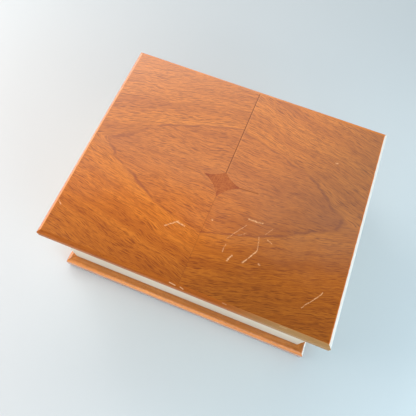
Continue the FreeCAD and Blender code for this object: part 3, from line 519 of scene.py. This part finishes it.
# A material for each slot and direction of the grain.
MATERIALS = {
    ("lid_veneer", "x"): lid_veneer(),
    ("star_wood", "x"): star_wood(),
    # the base moulding: lighter tones as painted light, and painted shade on its ledge and foot
    ("moulding_wood", "x"): plank("base_wood_x", "x", LIT_BASE_TONES, 1.0, painted_shade=True),
    ("moulding_wood", "y"): plank("base_wood_y", "y", LIT_BASE_TONES, 6.0, painted_shade=True),
    ("ivory_lacquer", "x"): ivory_lacquer("ivory_lacquer_x", "x"),
    ("ivory_lacquer", "y"): ivory_lacquer("ivory_lacquer_y", "y"),
    ("core_wood", "x"): plank("core_wood_x", "x", PALE_TONES, 3.0, streak=0.6, pore=0.35, coat={},
                                     rough=0.6),
    ("plywood", "x"): plywood("plywood"),
    ("velvet", "x"): velvet("velvet"),
    ("felt", "x"): felt("felt"),
    ("brass", "x"): metal("brass", (0.86, 0.60, 0.24), (0.50, 0.32, 0.13), 0.27, (0.25, 5.0, 5.0)),
    ("steel", "x"): metal("steel", (0.46, 0.46, 0.47), (0.24, 0.22, 0.21), 0.34, (4.0, 4.0, 0.4)),
}

# Pieces with a wood of their own.
SPECIAL = {
    # the lid's front edge: darker tones as painted shade
    "lid_lipping_front": plank("lid_wood_front", "x", SHADED_EDGE_TONES, 11.0, coat=EDGE_LACQUER, marks=FRONT_CHIPS,
                               lit_tan_from=34.0),
    "lid_lipping_back": plank("lid_wood_back", "x", LID_TONES, 12.0),
    "lid_lipping_left": plank("lid_wood_left", "y", LID_TONES, 13.0),
    # the right edges of the lid and base: worn pale and given a painted highlight
    "lid_lipping_right": plank("lid_wood_right", "y", LID_TONES, 14.0, worn_and_lit=(73.35, 60.4)),
    "base_moulding_right": plank("base_wood_right", "y", LIT_BASE_TONES, 16.0, worn_and_lit=(73.9, 6.4), painted_shade=True),
}


def material_for(node):
    """The slot's material, with wood grain along the piece's long side where the slot has both."""
    if node in SPECIAL:
        return SPECIAL[node]
    low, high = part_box(node)
    grain = "y" if high[1] - low[1] > high[0] - low[0] else "x"
    slot = SLOT_OF[node]
    return MATERIALS.get((slot, grain), MATERIALS[(slot, "x")])


for node, solid in NODES.items():
    solid.data.materials.clear()
    solid.data.materials.append(material_for(node))


# ---------------------------------------------------------------- eased edges

WOODEN = ("ivory_lacquer", "core_wood", "plywood")
SHARP = math.radians(35)
EASED_EDGE = 0.00025
SAME_POINT = 1e-6

for node, solid in NODES.items():
    weld = solid.modifiers.new("weld", "WELD")
    weld.merge_threshold = SAME_POINT
    if SLOT_OF[node] in WOODEN:
        bevel = solid.modifiers.new("bevel", "BEVEL")
        bevel.width = EASED_EDGE
        bevel.segments = 2
        bevel.limit_method = "ANGLE"
        bevel.angle_limit = SHARP


# ---------------------------------------------------------------- cloth

CLOTH_STEP = 0.0013       # between points of a sheet
FEWEST_STEPS = 8
RIM_STEPS = 4             # points round its rolled edge
BARE_SHARE = 0.18         # height of the very edge, as a share of the thickness


def cloth(node, face, name, sway, rim):
    """A sheet of cloth in the space of a plain CAD lining. Its pile side faces along face, a signed axis."""
    low, high = (Vector(corner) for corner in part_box(node))
    axis = "xyz".index(face[1])
    across = [k for k in range(3) if k != axis]
    outward = 1 if face[0] == "+" else -1
    thick = high[axis] - low[axis]
    ground = low[axis] if outward > 0 else high[axis]
    size = [high[k] - low[k] for k in across]
    steps = [max(FEWEST_STEPS, round(side / CLOTH_STEP)) for side in size]

    def spaced(count, side):
        """Closer together at the two edges, so that the rolled rim is smooth."""
        fine = [rim * (1 - math.cos(math.pi / 2 * k / RIM_STEPS)) for k in range(RIM_STEPS + 1)]
        plain = [fine[-1] + (side - 2 * rim) * k / count for k in range(1, count)]
        return fine + plain + [side - value for value in reversed(fine)]

    columns, rows = spaced(steps[0], size[0]), spaced(steps[1], size[1])
    bm = bmesh.new()

    def point(a, b, lift):
        place = [0.0, 0.0, 0.0]
        place[across[0]] = low[across[0]] + a
        place[across[1]] = low[across[1]] + b
        place[axis] = ground + outward * lift
        return bm.verts.new(place)

    def pile_height(a, b):
        edge = min(a, size[0] - a, b, size[1] - b)
        roll = math.sqrt(max(0.0, 1 - (1 - min(edge / rim, 1)) ** 2))
        place = Vector((a * 60, b * 60, len(node)))
        wave = noise.noise(place) * 0.6 + noise.noise(place * 4.3) * 0.4
        return thick * (BARE_SHARE + (1 - BARE_SHARE) * roll) - sway * roll * (0.5 + 0.5 * wave)

    top = [[point(a, b, pile_height(a, b)) for b in rows] for a in columns]
    under = [[point(a, b, 0) for b in rows] for a in columns]
    for i in range(len(columns) - 1):
        for j in range(len(rows) - 1):
            bm.faces.new((top[i][j], top[i + 1][j], top[i + 1][j + 1], top[i][j + 1]))
            bm.faces.new((under[i][j], under[i][j + 1], under[i + 1][j + 1], under[i + 1][j]))
    last_a, last_b = len(columns) - 1, len(rows) - 1
    round_the_edge = ([(i, 0) for i in range(last_a)] + [(last_a, j) for j in range(last_b)]
                      + [(i, last_b) for i in range(last_a, 0, -1)] + [(0, j) for j in range(last_b, 0, -1)])
    for (i, j), (k, m) in zip(round_the_edge, round_the_edge[1:] + round_the_edge[:1]):
        bm.faces.new((top[i][j], under[i][j], under[k][m], top[k][m]))
    bmesh.ops.recalc_face_normals(bm, faces=bm.faces)
    mesh = bpy.data.meshes.new(name)
    bm.to_mesh(mesh)
    bm.free()
    mesh.polygons.foreach_set("use_smooth", [True] * len(mesh.polygons))
    piece = bpy.data.objects.new(name, mesh)
    scene.collection.objects.link(piece)
    mesh.materials.append(material_for(node))
    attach(piece, BODY_OF[node])
    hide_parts(node)


# Each lining, the way its pile faces, the sheet's name, its unevenness, its rolled rim, how it is held and
# the piece that it lies on.
SHEETS = [
    ("base_felt", "-z", "felt_under_base", 0.00010, 0.0006, "stretched", "base_board"),
    ("floor_lining", "+z", "velvet_floor", 0.00016, 0.0010, "laid", "case_floor"),
    ("back_lining", "-y", "velvet_back", 0.00016, 0.0009, "stretched", "back_wall"),
    ("left_lining", "+x", "velvet_left", 0.00016, 0.0009, "stretched", "left_wall"),
    ("right_lining", "-x", "velvet_right", 0.00016, 0.0009, "stretched", "right_wall"),
    ("front_lining", "+y", "velvet_front", 0.00016, 0.0009, "stretched", "keyhole_wall"),
    ("lid_lining", "-z", "velvet_lid", 0.00016, 0.0010, "stretched", "lid_liner"),
    ("tray_lining", "+z", "velvet_tray", 0.00010, 0.0005, "laid", "key_tray"),
]

for lining, face, name, sway, rim, hold, ground in SHEETS:
    cloth(lining, face, name, sway, rim)


# ---------------------------------------------------------------- floor and light

FLOOR_REACH = 4      # from the middle to each edge


def make_floor():
    """A pale floor with painted light: bluish light painted towards the right and painted shade towards the
    back.
    """
    net = Net("floor")
    # painted light: bluish towards the right; painted shade: darker towards the back
    across = net.step(net.add(net.x, net.times(net.noise(net.place, 0.004, 2.0), 60.0)), -120.0, 260.0)
    back = net.step(net.y, -40.0, 260.0)
    colour = net.mix(across, (0.66, 0.66, 0.66), (0.72, 0.84, 0.88))
    net.finish(net.mix(net.times(back, 0.70), colour, (0.42, 0.47, 0.49)), 0.55)
    mesh = bpy.data.meshes.new("floor")
    corners = [(x * FLOOR_REACH, y * FLOOR_REACH, 0) for x, y in ((-1, -1), (1, -1), (1, 1), (-1, 1))]
    mesh.from_pydata(corners, [], [(0, 1, 2, 3)])
    mesh.materials.append(net.material)
    floor = bpy.data.objects.new("floor", mesh)
    scene.collection.objects.link(floor)


def make_lamp(name, place, aim, size, power, colour):
    data = bpy.data.lights.new(name, "AREA")
    data.shape = "RECTANGLE"
    data.size, data.size_y = size
    data.energy = power
    data.color = colour
    lamp = bpy.data.objects.new(name, data)
    scene.collection.objects.link(lamp)
    turn = (Vector(aim) - Vector(place)).to_track_quat("-Z", "Y").to_matrix().to_4x4()
    lamp.matrix_world = Matrix.Translation(Vector(place)) @ turn


def make_world():
    """A room whose walls are pale and whose ceiling is dim."""
    world = bpy.data.worlds.new("world")
    world.use_nodes = True
    nodes, links = world.node_tree.nodes, world.node_tree.links
    rise = nodes.new("ShaderNodeSeparateXYZ")
    links.new(nodes.new("ShaderNodeTexCoord").outputs["Generated"], rise.inputs[0])
    shade = nodes.new("ShaderNodeMapRange")
    shade.interpolation_type = "SMOOTHSTEP"
    links.new(rise.outputs["Z"], shade.inputs["Value"])
    for name, value in {"From Min": 0.30, "From Max": 0.97, "To Min": 0.85, "To Max": 0.12}.items():
        shade.inputs[name].default_value = value
    background = nodes["Background"]
    background.inputs["Color"].default_value = (0.88, 0.95, 1.0, 1)
    links.new(shade.outputs[0], background.inputs["Strength"])
    scene.world = world


make_floor()
make_world()
make_lamp("window_left", (-0.62, 0.10, 0.36), (0, 0, 0.03), (0.9, 0.6), 5.3, (1.0, 0.97, 0.94))
make_lamp("window_back", (-0.38, 0.90, 0.80), (0, 0, 0.03), (1.1, 0.5), 4.8, (1.0, 0.96, 0.94))
make_lamp("sky_right", (0.76, -0.34, 0.34), (0.1, -0.1, 0.0), (0.7, 0.35), 4.8, (0.62, 0.84, 1.0))
make_lamp("room_front", (0.10, -0.78, 0.48), (0, 0, 0.03), (0.8, 0.3), 1.8, (1.0, 0.93, 0.85))
scene.view_settings.view_transform = "Standard"
